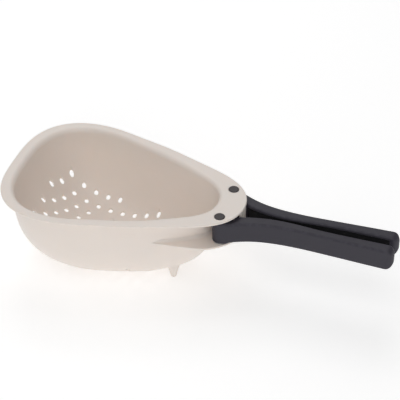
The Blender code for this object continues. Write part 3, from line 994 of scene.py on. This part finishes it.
@dataclass
class BowlShell:
    """The bowl's moulding without its neck: skins, drain holes, rolled rim and feet."""

    form: BowlForm
    drain: DrainPattern
    feet: Feet
    seat: PinSeat
    layout: Layout
    pitch: float = 0.0021
    collar: float = 0.0012
    rim_room: float = 0.6
    collar_room: float = 0.45
    flange_pitch: float = 0.0026
    flange_room: float = 0.0014
    roll_steps: int = 7
    skin: Skin = field(default_factory=Skin)

    def add(self, points: Array, faces: Array) -> None:
        """Adds a patch, moved to the frame."""
        self.skin.add(self.layout.place(points), faces)

    def add_rings(self, rings: Sequence[Array], edge: Array | float = 0.0) -> None:
        """Adds a patch of closed rings, moved to the frame."""
        self.skin.grid(self.layout.place(np.array(rings)), wrap=True, edge=edge)

    def wall_patch(self, out: float, feet: bool) -> None:
        """Fills one skin of the wall and floor, leaving the holes open.

        The skin is flattened, covered with a triangular grid and close rings round each hole
        and foot, triangulated, and folded back on the superellipse sections.

        Args:
            out: The skin's distance from the inner skin.
            feet: Whether the feet grow from this skin.
        """
        form, drain, angle = self.form, self.drain, self.form.angles
        holes = drain.places(form.centre)
        rim = form.solid(angle, form.wall(angle) + out, -form.roll(angle))
        rim_flat = spokes(angle, form.flat_reach(angle))
        lip = drain.radius + drain.lip
        plan = [
            copies(circle(lip, drain.sides), holes),
            copies(circle(lip + self.collar, drain.sides * 2 // 3), holes),
        ]
        if feet:
            rings = self.feet.rings()
            plan.append(rings[distance(rings, holes) > lip + self.collar / 2])
        plan = np.concatenate(plan)
        reach = np.abs(rim_flat).max(axis=0)
        grid = lattice(-reach, reach, self.pitch)
        limit = form.flat_reach(np.arctan2(grid[:, 1], grid[:, 0])) - self.pitch * self.rim_room
        grid = grid[np.hypot(grid[:, 0], grid[:, 1]) < limit]
        over = form.fold(grid, out)
        clear = distance(over, holes) > lip + self.collar + self.pitch * self.collar_room
        if feet:
            clear &= distance(over, self.feet.places()) > self.feet.clearing
        level = form.height(plan[:, 0], plan[:, 1], out)
        points = np.concatenate([rim, np.column_stack([plan, level]), over[clear]])
        if feet:
            points = self.feet.blend(points)
        flat = np.concatenate([rim_flat, form.unfold(plan[:, 0], plan[:, 1], out), grid[clear]])
        count = len(rim)
        loops = count + np.arange(len(holes) * drain.sides).reshape(len(holes), drain.sides)
        self.add(points, triangulate(flat, np.arange(count), list(loops)))

    def hole_walls(self) -> None:
        """Adds each hole's straight barrel with a rounded lip at both skins.

        A lip is a quarter circle: the radius shrinks to the barrel's with the sine of the turn,
        and the height leaves the skin with one less its cosine.
        """
        form, drain = self.form, self.drain
        sine, cosine = quarter(3)
        lips = [(0.0, s, c) for s, c in zip(sine, cosine)]
        lips += [(form.thickness, s, c) for s, c in zip(sine[::-1], cosine[::-1])]
        for x, y in drain.places(form.centre):
            rings = []
            for out, s, c in lips:
                at = circle(drain.radius + drain.lip * (1 - s), drain.sides) + (x, y)
                inwards = drain.lip * (1 - c) * (1 if out else -1)
                ring = np.column_stack([at, form.height(at[:, 0], at[:, 1], out) + inwards])
                rings.append(self.feet.blend(ring) if out else ring)
            self.add_rings(rings)

    def rim_rings(self) -> None:
        """Adds the rolls on both skins and the half-round edge of the flange.

        A roll is a quarter circle from the wall to the flange. Below, it is tighter by the
        wall's thickness where it starts and by the flange's where it ends.
        """
        form, angle = self.form, self.form.angles
        wall, roll, rim = form.wall(angle), form.roll(angle), form.rim(angle)
        for low, high in ((0.0, 0.0), (form.thickness, form.plate)):
            rings = []
            for s, c in zip(*quarter(self.roll_steps)):
                tight = roll - low - (high - low) * s
                rings.append(form.solid(angle, wall + roll - tight * c, tight * s - roll))
            self.add_rings(rings)
        size = form.plate / 2
        cosine, sine = half_circle()
        rings = [form.solid(angle, rim - size + size * c, size * s - size) for c, s in zip(cosine, sine)]
        self.add_rings(rings, edge=cosine[:, None] ** 2)

    def flange_face(self, level: float, bore: float) -> None:
        """Fills the flange's upper or lower face, leaving both pin seats open.

        The face is level, from the roll's end to the rim's round edge.

        Args:
            level: The face's height.
            bore: Radius of its opening at each pin.
        """
        form, angle, seat = self.form, self.form.angles, self.seat
        inside = form.solid(angle, form.wall(angle) + form.roll(angle), level)
        outside = form.solid(angle, form.rim(angle) - form.plate / 2, level)
        pins = np.array([(0.0, self.layout.pin_y), (0.0, -self.layout.pin_y)])
        loops = [circle(bore, seat.sides) + pin for pin in pins]
        rings = [circle(bore + self.collar, seat.sides // 2) + pin for pin in pins]
        reach = np.abs(outside[:, :2]).max(axis=0)
        grid = lattice(-reach, reach, self.flange_pitch)
        at, radius = form.polar(grid[:, 0], grid[:, 1])
        keep = radius > form.wall(at) + form.roll(at) + self.flange_room
        keep &= radius < form.rim(at) - self.flange_pitch
        keep &= distance(grid, pins) > bore + self.flange_pitch
        grid = grid[keep]
        flat = np.concatenate([outside[:, :2], inside[:, :2], *loops, *rings, grid])
        points = np.column_stack([flat, np.full(len(flat), level)])
        count = len(angle)
        holes = [np.arange(count, 2 * count)]
        holes += [2 * count + np.arange(seat.sides) + seat.sides * pin for pin in (0, 1)]
        self.add(points, triangulate(flat, np.arange(count), holes))

    def pin_seats(self) -> None:
        """Adds the recess and the bore of both pins between the flange's faces."""
        seat, under = self.seat, -self.form.plate
        profile = [(seat.head + seat.bevel, 0.0), (seat.head, -seat.bevel)]
        profile += [(seat.head, -seat.recess), (seat.bore, -seat.recess)]
        profile += [(seat.bore, under + seat.bevel), (seat.bore + seat.bevel, under)]
        for side in (-1, 1):
            self.add_rings(lathe(profile, seat.sides) + (0.0, side * self.layout.pin_y, 0.0))

    def build(self, finish: Material) -> Object:
        """Makes the bowl's object.

        Args:
            finish: The bowl's plastic.

        Returns:
            The finished object.
        """
        self.wall_patch(0.0, feet=False)
        self.wall_patch(self.form.thickness, feet=True)
        self.hole_walls()
        self.rim_rings()
        self.flange_face(0.0, self.seat.head + self.seat.bevel)
        self.flange_face(-self.form.plate, self.seat.bore + self.seat.bevel)
        self.pin_seats()
        return self.skin.build("bowl_shell", finish, "bowl")


@dataclass
class Neck:
    """The shelf under the deck and the web that closes the neck between the handles."""

    form: BowlForm
    layout: Layout
    drop: float = 0.0308
    thickness: float = 0.0025
    start_x: float = -0.0610
    full_x: float = -0.0095
    run_power: float = 0.8
    setback: float = 0.0012
    fillet: float = 0.0035
    lower_fillet: float = 0.0018
    edge: float = 0.0009
    fade: float = 0.0006
    web_half: float = 0.0085
    web_setback: float = 0.0004
    web_flare: float = 0.0005
    web_rows: int = 41
    web_columns: int = 17
    web_samples: int = 2048

    def shelf(self, finish: Material) -> Object:
        """A plate that grows out of the wall: one rounded profile swept round the neck.

        The plate's reach rises from the wall to just inside the rim with a power of the way
        between two X values. Its lip is a half circle stretched to the plate's thickness, and
        both fillets are quarter circles added to the wall's own radius at each height.

        Args:
            finish: The bowl's plastic.

        Returns:
            The finished object.
        """
        form = self.form
        angle = np.sort(form.angles)
        x = form.centre + form.rim(angle) * np.cos(angle)
        angle = angle[x > self.start_x][:, None]
        x = x[x > self.start_x][:, None]
        wall, rim = form.wall(angle), form.rim(angle)
        run = np.clip((x - self.start_x) / (self.full_x - self.start_x), 0, 1)
        reach = wall + (rim - self.setback - wall) * run**self.run_power
        top, under = -self.drop, -self.drop - self.thickness
        sine, cosine = quarter(7)

        def corner(level: float, rise: float) -> tuple[Array, Array]:
            """Radius and height of a fillet that leaves the plate and meets the wall.

            It fades out where the plate's edge goes back into the wall.

            Args:
                level: The plate's face that it leaves.
                rise: How far up the wall it ends, less than 0 for down.

            Returns:
                Radii and heights, one row per section.
            """
            out = reach - form.radius_at(angle, np.full_like(angle, level), form.thickness)
            size = np.clip(out - self.fade, 0, abs(rise))
            height = level + math.copysign(1, rise) * size * (1 - cosine)
            return form.radius_at(angle, height, form.thickness) + size * (1 - sine), height

        lip_cosine, lip_sine = half_circle()
        lip = reach - self.edge + self.edge * lip_cosine
        lip_height = (top + under) / 2 + self.thickness / 2 * lip_sine + np.zeros_like(reach)
        upper, upper_height = corner(top, self.fillet)
        lower, lower_height = corner(under, -self.lower_fillet)
        inner_height = np.concatenate([upper_height[:, -1:], lower_height[:, -1:]], axis=1)
        inner = form.radius_at(angle, inner_height, form.thickness / 2)
        radius = np.concatenate([lower[:, ::-1], lip, upper, inner], axis=1)
        height = [lower_height[:, ::-1], lip_height, upper_height, inner_height]
        points = capped(form.solid(angle, radius, np.concatenate(height, axis=1)))
        return Skin.sweep(self.layout.place(points), "neck_shelf", finish, "bowl")

    def web(self, finish: Material) -> Object:
        """An upright plate along the rim: a rounded strip, a little wider at deck and shelf.

        In plan it is a line along the rim's edge, thickened to both sides, with a half circle
        at both ends. Near deck and shelf the thickness grows by a hollow quarter round.

        Args:
            finish: The bowl's plastic.

        Returns:
            The finished object.
        """
        form = self.form
        low, high = -self.drop - self.thickness / 2, -form.plate / 2
        heights = np.linspace(low, high, self.web_rows)
        near = np.minimum(heights + self.drop, -form.plate - heights)
        half = form.plate / 2
        size = (half + drawn_back(self.web_flare - near, self.web_flare))[:, None]
        outline = form.outline(self.web_samples)
        outline = outline[outline[:, 0] > 0]
        outline = outline[np.argsort(outline[:, 1])]
        round_y, round_x = half_circle()
        flat = np.linspace(-1, 1, self.web_columns)
        side, end = np.ones(len(flat)), np.ones(len(round_x))
        along = np.concatenate([flat, end, flat[::-1], -end])
        depth = np.concatenate([-side, round_x, side, round_x[::-1]])
        cap = np.concatenate([0 * side, round_y, 0 * side, -round_y])
        y = along * (self.web_half - half) + cap * size
        line = np.interp(y, outline[:, 1], outline[:, 0]) - self.web_setback - half
        points = xyz(line - depth * size, y, heights[:, None])
        return Skin.sweep(self.layout.place(capped(points)), "neck_web", finish, "bowl")


# Shares of a handle's length from the pin, and of the sweep or of the width there.
SWEEP = ((0.0, 0.097, 0.176, 0.313, 0.56, 1.0), (0.0, 0.4, 0.73, 1.0, 0.965, 0.84))
WIDTHS = (
    (0.0, 0.097, 0.176, 0.313, 0.51, 0.74, 0.94, 1.0),
    (0.8, 0.79, 0.73, 0.68, 0.57, 0.6, 0.69, 0.7),
)

# Places across the recess's edge, from outside, and the share of its depth reached there.
RECESS_PLACES = np.array([-0.0003, 0.0, 0.00004])
RECESS_SHARES = (0.0, 0.09, 1.0)


@dataclass(frozen=True)
class HandleForm:
    """A handle's sizes, measured from its pin."""

    reach: float = 0.1744
    top: float = -0.0052
    height: float = 0.0228
    width: float = 0.0180
    sweep: float = 0.0144
    sweep_end_slope: float = -0.3
    edge: float = 0.0028
    lower_edge: float = 0.0012
    boss: float = 0.0073
    boss_edge: float = 0.0025
    boss_blend: float = 0.0100
    boss_spread: float = 0.0120
    boss_low: float = -0.0297
    boss_high: float = -0.0036
    low_step: tuple[float, float] = (0.0062, 0.0120)
    high_step: tuple[float, float] = (0.0070, 0.0095)
    bore: float = 0.0033
    bore_reach: float = 0.009
    line_start: float = 0.014
    end: float = 0.0062
    end_lower: float = 0.0085
    end_upper: float = 0.0075
    recess_start: float = 0.0188
    recess_end: float = 0.1656
    recess_margin: float = 0.0033
    recess_depth: float = 0.0019
    cover: float = 0.0016
    cover_edge: float = 0.00035
    gap: float = 0.0003

    @property
    def under(self) -> float:
        """Level of the handle's underside."""
        return self.top - self.height

    def middle(self, x: Array) -> Array:
        """Y of the handle's middle line: a spline through shares of the sweep, inwards."""
        at, shares = np.array(SWEEP)
        return -self.sweep * clamped_spline(at, shares, (0, self.sweep_end_slope), x / self.reach)

    def half(self, x: Array) -> Array:
        """Half the handle's width: a spline through shares, smoothly wider towards the boss.

        Args:
            x: Places along the handle.

        Returns:
            Half the width at each.
        """
        at, shares = np.array(WIDTHS)
        half = self.width / 2 * clamped_spline(at, shares, (0, 0), x / self.reach)
        wider = self.boss - self.width / 2 * shares[0]
        return half + wider * (1 - smooth_step(x, 0.0, self.boss_spread))

    def levels(self, x: Array) -> tuple[Array, Array]:
        """Lower and upper level along the handle.

        Each is a smooth step from the boss's level to the handle's, and draws back by a
        quarter round at the end.

        Args:
            x: Places along the handle.

        Returns:
            Both levels at each.
        """
        low = self.boss_low + (self.under - self.boss_low) * smooth_step(x, *self.low_step)
        high = self.boss_high + (self.top - self.boss_high) * smooth_step(x, *self.high_step)
        low = low + drawn_back(x - (self.reach - self.end_lower), self.end_lower)
        return low, high - drawn_back(x - (self.reach - self.end_upper), self.end_upper)


def rounded_span(low: float, high: float, edge: float, count: int) -> tuple[Array, Array]:
    """Places along a plate with rounded edges.

    Args:
        low: Where it starts.
        high: Where it ends.
        edge: Radius of the round at both ends.
        count: How many places the straight part has; they keep a millimetre from the ends.

    Returns:
        The places, and how far the plate's face has drawn back at each.
    """
    sine, cosine = quarter(3)
    ends, back = edge * (1 - cosine), edge * (1 - sine)
    room = 0.001
    inner = np.linspace(low + room, high - room, count)
    places = np.concatenate([low + ends, inner, high - ends[::-1]])
    return places, np.concatenate([back, np.zeros(count), back[::-1]])


@dataclass
class Handle:
    """One folding handle: its tray-shaped moulding and the cover in its inner face."""

    hand: Hand
    form: HandleForm
    layout: Layout
    near: float = 0.016
    near_stations: int = 17
    stations_on: int = 110
    edge_steps: int = 6
    edge_share: float = 0.92
    face_room: float = 0.0007
    face_rows: int = 9
    cover_stations: int = 90
    closing: Triple = (1.0, 0.66, 0.33)
    slack: float = 1e-9

    @property
    def body(self) -> str:
        """The body that the handle is."""
        return f"{self.hand.word}_handle"

    def stations(self) -> tuple[Array, Array, Array]:
        """Where the handle's sections lie.

        Returns:
            Plan X of each section's edge, the share of the half width left there, and the
            turn round the boss in radians, which is a right angle past the boss.
        """
        form = self.form
        boss = np.linspace(math.pi, math.pi / 2, self.near_stations)[:-1]
        bend = form.reach - form.end
        body = [
            np.linspace(0, self.near, self.near_stations),
            np.linspace(self.near, bend, self.stations_on),
            form.recess_start + RECESS_PLACES,
            form.recess_end - RECESS_PLACES,
        ]
        body = np.unique(np.concatenate(body))
        sine, cosine = quarter(self.near_stations - 1)
        x = np.concatenate([form.boss * np.cos(boss), body, bend + form.end * sine[1:]])
        share = np.concatenate([np.ones(len(boss) + len(body)), cosine[1:]])
        turn = np.concatenate([boss, np.full(len(x) - len(boss), math.pi / 2)])
        return x, share, turn

    def shell(self, finish: Material) -> Object:
        """The moulding: rounded sections from the boss to the end, with the recess let in.

        Each half section runs from the top's middle line over a round to the side, and over
        another to the underside's middle line. The rounds are quarter circles, with a radius
        that goes smoothly from the boss's to the handle's. Round the boss the sections turn
        about the pin, and the middle line becomes the bore.

        Args:
            finish: The handle's plastic.

        Returns:
            The finished object.
        """
        form = self.form
        station, share, turn = self.stations()
        boss = (turn > math.pi / 2)[:, None]
        along = np.maximum(station, 0)[:, None]
        middle = np.where(boss, 0.0, form.middle(along))
        half = np.where(boss, form.boss, form.half(along) * share[:, None])
        past = smooth_step(station, 0, form.boss_blend)[:, None]
        upper, lower = (
            np.minimum(form.boss_edge + (size - form.boss_edge) * past, half * self.edge_share)
            for size in (form.edge, form.lower_edge)
        )
        nominal = form.height - form.edge - form.lower_edge
        low_wall = form.recess_margin - form.lower_edge + RECESS_PLACES
        high_wall = nominal - (form.recess_margin - form.edge + RECESS_PLACES)[::-1]
        face_ends = low_wall[-1] + self.face_room, high_wall[0] - self.face_room
        face = np.linspace(*face_ends, self.face_rows)
        rows = np.concatenate([low_wall, face, high_wall])[::-1]
        recessed = self.recess_share(station[:, None], rows + form.lower_edge)
        sine, cosine = quarter(self.edge_steps)
        flat, none = np.zeros(len(rows)), np.zeros(len(sine))
        recessed = np.pad(recessed, ((0, 0), (len(none), len(none))))
        level = np.concatenate([none + 1, rows / nominal, none])
        over = upper * np.concatenate([cosine, flat, none])
        below = lower * np.concatenate([none, flat, cosine[::-1]])
        inset = upper * np.concatenate([1 - sine, flat, none])
        inset = inset + lower * np.concatenate([none, flat, 1 - sine[::-1]])
        round_edge, plain = 2 * sine * cosine, np.zeros(len(self.closing))
        edge = np.concatenate([plain, round_edge, flat, round_edge, plain])
        skin = Skin()
        for side in (1, -1):
            width = half - inset - (recessed * form.recess_depth if side < 0 else 0)
            x = np.where(boss, width * np.cos(turn)[:, None], station[:, None])
            y = np.where(boss, side * width * np.sin(turn)[:, None], middle + side * width)
            low, high = form.levels(x)
            top, bottom = high - upper, low + lower
            z = bottom + level * (top - bottom) + over - below
            target = self.targets(station, turn, side)
            outline = np.stack([x, y], axis=-1)
            tops = [outline[:, 0] + (target - outline[:, 0]) * w for w in self.closing]
            bottoms = [outline[:, -1] + (target - outline[:, -1]) * w for w in self.closing[::-1]]
            plan = np.stack([*tops, *outline.transpose(1, 0, 2), *bottoms], axis=1)
            low, high = form.levels(plan[:, :, 0])
            z = np.concatenate([high[:, : len(tops)], z, low[:, -len(bottoms) :]], axis=1)
            points = self.layout.place_hand(np.dstack([plan, z]), self.hand)
            skin.grid(points, edge=edge)
            round_bore = station <= form.bore_reach + self.slack
            skin.grid(points[round_bore][:, [0, -1]])
        return skin.build(f"{self.hand.word}_handle_body", finish, self.body)

    def recess_share(self, x: Array, rise: Array) -> Array:
        """How much of the recess's depth is reached at places along and up the inner face.

        It is read from a table by the distance to the nearest edge.

        Args:
            x: Places along the handle.
            rise: Heights over its underside.

        Returns:
            Shares of the depth.
        """
        form = self.form
        ends = np.minimum(x - form.recess_start, form.recess_end - x)
        edges = np.minimum(rise - form.recess_margin, form.height - form.recess_margin - rise)
        return np.interp(np.minimum(ends, edges), RECESS_PLACES, RECESS_SHARES)

    def targets(self, station: Array, turn: Array, side: int) -> Array:
        """Plan places that the top and underside close on.

        Those are the bore's circle, turned through evenly, and past it the middle line, on
        which they catch up with their own sections.

        Args:
            station: X of each section's edge.
            turn: Its turn round the boss.
            side: 1 for the outer half, -1 for the inner.

        Returns:
            One X, Y per section.
        """
        form = self.form
        at_bore = station <= form.bore_reach
        past = math.pi / 2 * (1 - np.clip(station / form.bore_reach, 0, 1))
        swing = np.where(turn > math.pi / 2, turn, past)
        starts = [form.bore_reach, form.line_start]
        catching_up = np.interp(station, starts, [form.bore, form.line_start])
        line = np.where(station > form.line_start, station, catching_up)
        x = np.where(at_bore, form.bore * np.cos(swing), line)
        y = np.where(at_bore, side * form.bore * np.sin(swing), form.middle(line))
        return np.stack([x, y], axis=1)

    def cover(self, finish: Material) -> Object:
        """The plate that closes the tray: a rounded strip that follows the inner face.

        Its section is a rectangle of height and thickness with quarter rounds, which shrinks
        about its middle by a quarter round towards both ends.

        Args:
            finish: The cover's near-black plastic, whose colour is painted shade for the gap between the
                handles.

        Returns:
            The finished object.
        """
        form = self.form
        start, end = form.recess_start + form.gap, form.recess_end - form.gap
        margin = form.recess_margin + form.gap
        low, high = form.under + margin, form.top - margin
        x, shrink = rounded_span(start, end, form.cover_edge, self.cover_stations)
        x, shrink = x[:, None], shrink[:, None]
        face_z, face_y = rounded_span(low, high, form.cover_edge, self.face_rows)
        centre_y, centre_z = form.cover / 2, (low + high) / 2
        loop_y = np.concatenate([face_y, form.cover - face_y[::-1]]) - centre_y
        loop_z = np.concatenate([face_z, face_z[::-1]]) - centre_z
        y = form.middle(x) - form.half(x) + centre_y + loop_y * (1 - shrink / centre_y)
        z = centre_z + loop_z * (1 - shrink / (high - centre_z))
        points = capped(xyz(x, y, z))
        placed = self.layout.place_hand(points, self.hand)
        return Skin.sweep(placed, f"{self.hand.word}_handle_plate", finish, self.body)


@dataclass
class Pivot:
    """One pivot's pin, two washers and retaining screw, turned about the pin's axis."""

    hand: Hand
    layout: Layout
    seat: PinSeat
    deck_under: float = -0.0025
    shelf_top: float = -0.0308
    shelf_under: float = -0.0333
    gap: float = 0.0003
    head: float = 0.0052
    head_height: float = 0.0014
    head_edge: float = 0.0005
    dish: Pairs = ((0.0, 0.00022), (0.0018, 0.0002), (0.0030, 0.0001), (0.0038, 0.0))
    shaft: float = 0.0030
    shaft_bevel: float = 0.0003
    screw_hole: float = 0.0016
    screw_hole_depth: float = 0.0110
    washer_bore: float = 0.0033
    washer_rim: float = 0.0064
    washer_height: float = 0.0005
    washer_edge: float = 0.00012
    thread: float = 0.0013
    thread_end: float = 0.0009
    thread_taper: float = 0.0007
    thread_length: float = 0.0095
    pan: float = 0.0045
    pan_height: float = 0.0018
    pan_edge: float = 0.0008
    socket: float = 0.0013
    socket_across: float = 1.02
    socket_bevel: tuple[float, float] = (0.0003, 0.0002)
    socket_depth: float = 0.0010
    socket_bottom: float = 0.0012
    sides: int = 64

    def turned(
        self, name: str, profile: Pairs, finish: Material, shape: Array | float = 1.0
    ) -> Object:
        """Turns a profile of radius and height pairs about the pin; see lathe for the shape."""
        points = self.layout.place_hand(lathe(profile, self.sides, shape), self.hand)
        return Skin.sweep(points, f"{self.hand.word}_{name}", finish, "bowl")

    def pin(self, finish: Material) -> Object:
        """A pin whose low head has a rounded edge and a shallow dish.

        Args:
            finish: The pin's plastic.

        Returns:
            The finished object.
        """
        seat, low = self.gap - self.seat.recess, self.shelf_under + self.gap
        top, size = seat + self.head_height, self.head_edge
        profile = [(radius, top - deep) for radius, deep in self.dish]
        profile += [(self.head - size + size * s, top - size + size * c) for s, c in zip(*quarter(5))]
        profile += [(self.head, seat), (self.shaft, seat), (self.shaft, low + self.shaft_bevel)]
        profile += [(self.shaft - self.shaft_bevel, low), (self.screw_hole, low)]
        profile += [(radius, low + self.screw_hole_depth) for radius in (self.screw_hole, 0.0)]
        return self.turned("pin", profile, finish)

    def washer(self, name: str, low: float, finish: Material) -> Object:
        """A thin washer with bevelled rims, whose profile closes on itself.

        Args:
            name: The washer's name after the hand's word.
            low: Height of its underside.
            finish: Its plastic.

        Returns:
            The finished object.
        """
        high, rim, size = low + self.washer_height, self.washer_rim, self.washer_edge
        profile = [(self.washer_bore, low), (self.washer_bore, high), (rim - size, high)]
        profile += [(rim, high - size), (rim, low + size), (rim - size, low), profile[0]]
        return self.turned(name, profile, finish)

    def screw(self, finish: Material) -> Object:
        """A pan-head screw with a six-sided socket in its head.

        Args:
            finish: The screw's steel.

        Returns:
            The finished object.
        """
        under = self.shelf_under - self.gap
        low, tip, size = under - self.pan_height, under + self.thread_length, self.pan_edge
        profile = [(0.0, tip), (self.thread_end, tip), (self.thread, tip - self.thread_taper)]
        profile += [(self.thread, under), (self.pan, under)]
        profile += [(self.pan - size + size * c, low + size - size * s) for s, c in zip(*quarter(5))]
        wider, deeper = self.socket_bevel
        profile += [(self.socket + wider, low), (self.socket, low + deeper)]
        profile += [(self.socket, low + self.socket_depth), (0.0, low + self.socket_bottom)]
        turns = np.linspace(0, 2 * math.pi, self.sides, endpoint=False)
        # A hexagon's radius is that of its flats over the cosine of the turn from a flat's middle.
        flats = math.cos(math.pi / 6) / np.cos((turns + math.pi / 6) % (math.pi / 3) - math.pi / 6)
        shape = np.ones((len(profile), self.sides))
        shape[-3:-1] = flats * self.socket_across
        return self.turned("screw", profile, finish, shape)


# Each light's name, its azimuth and elevation in degrees, and its power in watts.
SOFTBOXES = (
    ("front", 18, 30, 7.0),
    ("front_high", 18, 60, 5.5),
    ("left", -75, 60, 5.8),
    ("back", 200, 60, 7.5),
    ("back_low", 200, 40, 4.5),
)


@dataclass(frozen=True)
class Studio:
    """Floor, soft light and the photograph's camera, with angles in degrees.

    The camera's stand is measured at the rim's level from fit_origin ahead of the hinge line.
    """

    layout: Layout
    azimuth: float = 18.67
    elevation: float = 38.44
    focal_pixels: float = 1543.4
    picture_pixels: float = 400
    sensor: float = 36
    stand: Triple = (0.3612, -1.1495, 0.9594)
    fit_origin: float = 0.0010
    softbox_size: float = 1.3
    softbox_away: float = 2.2
    sky: float = 0.28
    paper: Paper = Paper("floor_paper", (0.97, 0.97, 0.97), 0.33)
    floor_reach: float = 6.0
    floor_drop: float = 0.0001

    @staticmethod
    def towards(azimuth: float, elevation: float) -> Vector:
        """The direction from the object at these angles in degrees.

        Args:
            azimuth: 0 is along -Y, and 90 along X.
            elevation: 90 is straight above.

        Returns:
            A vector of length one.
        """
        turn, rise = math.radians(azimuth), math.radians(elevation)
        level = math.cos(rise)
        return Vector((math.sin(turn) * level, -math.cos(turn) * level, math.sin(rise)))

    @staticmethod
    def facing(name: str, data: bpy.types.ID, back: Vector) -> Object:
        """Adds a camera or light that looks the opposite way to a direction.

        Args:
            name: Its name.
            data: The camera or light.
            back: The direction from what it looks at.

        Returns:
            The object, still at the origin.
        """
        obj = add_object(name, data)
        obj.rotation_mode = "QUATERNION"
        obj.rotation_quaternion = back.to_track_quat("Z", "Y")
        return obj

    def camera(self) -> None:
        """Puts the camera where the photograph was taken from."""
        data = bpy.data.cameras.new("camera")
        data.sensor_width = self.sensor
        data.lens = self.focal_pixels / self.picture_pixels * self.sensor
        obj = self.facing("camera", data, self.towards(self.azimuth, self.elevation))
        shift = Vector((self.layout.hinge_x - self.fit_origin, 0.0, self.layout.rim_z))
        obj.location = Vector(self.stand) + shift
        bpy.context.scene.camera = obj

    def softbox(self, name: str, azimuth: float, elevation: float, power: float) -> None:
        """A square soft light that faces the object from angles in degrees.

        Args:
            name: Its name.
            azimuth: 0 is along -Y, and 90 along X.
            elevation: 90 is straight above.
            power: In watts.
        """
        data = bpy.data.lights.new(name, "AREA")
        data.size = self.softbox_size
        data.energy = power
        back = self.towards(azimuth, elevation)
        self.facing(name, data, back).location = back * self.softbox_away

    def floor(self) -> None:
        """Lays a large sheet of paper just under the feet."""
        mesh = bpy.data.meshes.new("floor")
        corners = np.array([[-1, -1, 0], [1, -1, 0], [1, 1, 0], [-1, 1, 0]]) * self.floor_reach
        mesh.from_pydata((corners - [0, 0, self.floor_drop]).tolist(), [], [(0, 1, 2, 3)])
        mesh.materials.append(self.paper.make())
        floor = add_object("floor", mesh)

    def build(self) -> None:
        """Makes the floor, the world, the lights and the camera."""
        self.floor()
        world = bpy.data.worlds.new("studio")
        world.use_nodes = True
        background = world.node_tree.nodes["Background"]
        background.inputs["Color"].default_value = (1.0, 1.0, 1.0, 1.0)
        background.inputs["Strength"].default_value = self.sky
        bpy.context.scene.world = world
        for name, azimuth, elevation, power in SOFTBOXES:
            self.softbox(name, azimuth, elevation, power)
        bpy.context.scene.view_settings.view_transform = "Standard"
        self.camera()


def main() -> None:
    """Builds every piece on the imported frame."""
    logging.basicConfig(level=logging.INFO, format="%(message)s")
    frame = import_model()
    layout = Layout.from_frame(frame)
    finishes = {finish.slot: finish.make() for finish in FINISHES}
    # The covers' finish is painted shade: near-black for the shade between the closed handles.
    cover_painted_shade_finish = COVER_PAINTED_SHADE_FINISH.make()
    form, drain, seat = BowlForm(), DrainPattern(), PinSeat()
    shell = BowlShell(form, drain, Feet(drain, form), seat, layout)
    neck = Neck(form, layout)
    plastic = finishes[Slot.BOWL]
    for piece in (shell.build(plastic), neck.shelf(plastic), neck.web(plastic)):
        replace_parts(piece, "bowl")
    for hand in Hand:
        handle = Handle(hand, HandleForm(), layout)
        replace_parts(handle.shell(finishes[Slot.HANDLE]), f"{hand.word}_handle_shell")
        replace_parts(handle.cover(cover_painted_shade_finish), f"{hand.word}_handle_cover")
        pivot = Pivot(hand, layout, seat)
        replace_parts(pivot.pin(finishes[Slot.PIN]), f"{hand.word}_pivot_pin")
        upper = pivot.deck_under - pivot.gap - pivot.washer_height
        washer = pivot.washer("washer_above", upper, finishes[Slot.WASHER])
        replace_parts(washer, f"{hand.word}_upper_washer")
        washer = pivot.washer("washer_below", pivot.shelf_top + pivot.gap, finishes[Slot.WASHER])
        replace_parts(washer, f"{hand.word}_lower_washer")
        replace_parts(pivot.screw(finishes[Slot.STEEL]), f"{hand.word}_retaining_screw")
    Studio(layout).build()


if __name__ == "__main__":
    main()
